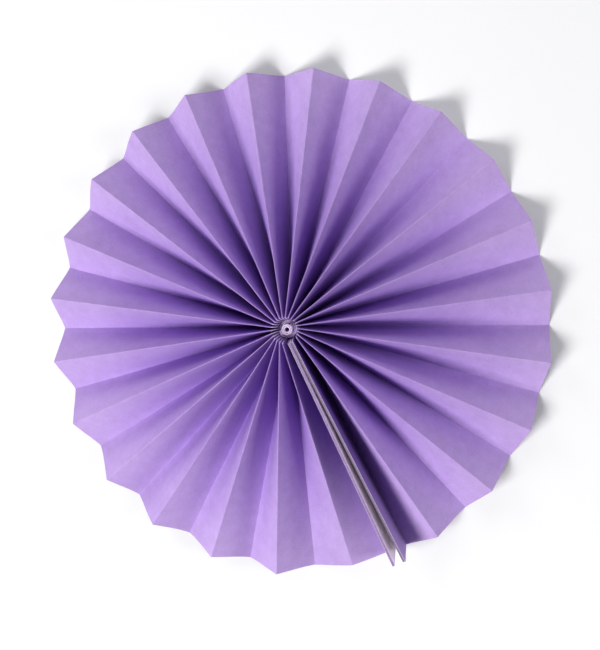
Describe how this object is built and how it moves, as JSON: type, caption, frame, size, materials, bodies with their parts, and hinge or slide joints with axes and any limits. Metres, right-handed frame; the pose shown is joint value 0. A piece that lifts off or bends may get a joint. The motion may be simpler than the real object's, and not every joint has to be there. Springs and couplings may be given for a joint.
{
  "type": "paper fan rosette",
  "caption": "Round accordion-folded paper fan rosette in lavender, opened to a full circle, with a card-backed seam that gapes a little and a bound hub with a small bore.",
  "frame": {"origin": "on the rosette's axis, at the height of the surface that it lies on", "axes": "+Z along the axis, out of the face with the ridges and the seam; +Y towards the top of the picture and +X to its right, so that the seam points down to the right"},
  "size_m": [0.3045, 0.3057, 0.0529],
  "materials": {
    "lavender_paper": "matt coloured paper, a little paler along worn folds",
    "pale_card": "raw pale card with a fibrous cut edge",
    "clear_tape": "thin double-sided tape, hidden between the cards",
    "pale_cord": "pale twisted cord, wound tight"
  },
  "bodies": {
    "root": {"pleated_paper": "lavender_paper", "end_card_left": "pale_card", "end_card_right": "pale_card", "closing_tape": "clear_tape", "centre_tie": "pale_cord"}
  },
  "joints": []
}
